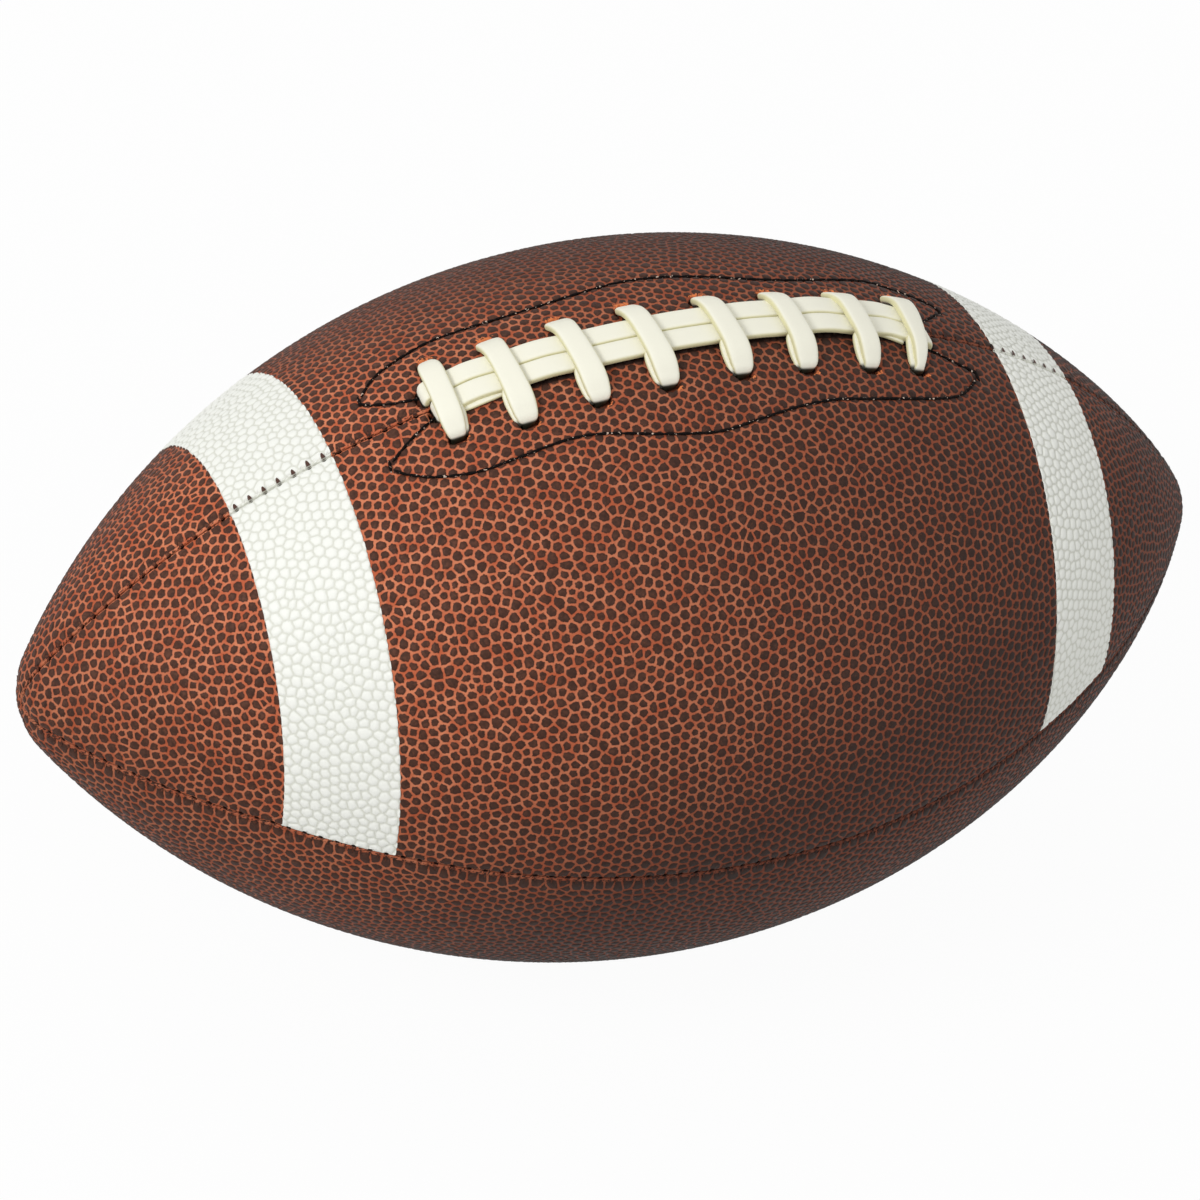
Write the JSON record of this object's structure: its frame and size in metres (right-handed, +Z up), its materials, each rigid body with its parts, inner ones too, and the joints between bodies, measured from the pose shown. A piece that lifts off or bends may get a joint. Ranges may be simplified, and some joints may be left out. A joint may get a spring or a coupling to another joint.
{
  "type": "american football",
  "caption": "Laced american football: sewn pebbled leather panels over linings and an inflatable bladder, with white stripes and a needle valve.",
  "frame": {"origin": "centre of the ball's footprint, on the surface it lies on, with the lacing straight up", "axes": "+X along the ball from the left nose to the right nose, +Z up through the lacing, -Y towards the side that the picture shows"},
  "size_m": [0.2898, 0.166, 0.1697],
  "materials": {
    "leather": "pebbled tan-brown leather, dull sheen",
    "lining_cloth": "layered woven cotton",
    "facing_leather": "smooth backing leather",
    "lace_vinyl": "soft satin vinyl",
    "white_coat": "matt white coat on pebbled leather",
    "black_thread": "waxed black thread",
    "seam_thread": "waxed tan thread",
    "bladder_rubber": "smooth rubber",
    "valve_rubber": "moulded rubber"
  },
  "bodies": {
    "root": {"panel_lace_near": "leather", "panel_lace_far": "leather", "panel_base_near": "leather", "panel_base_far": "leather", "lining_lace_near": "lining_cloth", "lining_lace_far": "lining_cloth", "lining_base_near": "lining_cloth", "lining_base_far": "lining_cloth", "facing_near": "facing_leather", "facing_far": "facing_leather", "lace_tongue": "facing_leather", "lace": "lace_vinyl", "stripe_near_left": "white_coat", "stripe_near_right": "white_coat", "stripe_far_left": "white_coat", "stripe_far_right": "white_coat", "facing_stitch_near": "black_thread", "facing_stitch_far": "black_thread", "seam_thread_top": "seam_thread", "seam_thread_bottom": "seam_thread", "seam_thread_near": "seam_thread", "seam_thread_far": "seam_thread", "bladder": "bladder_rubber", "valve_housing": "valve_rubber", "valve_insert": "valve_rubber"}
  },
  "joints": []
}
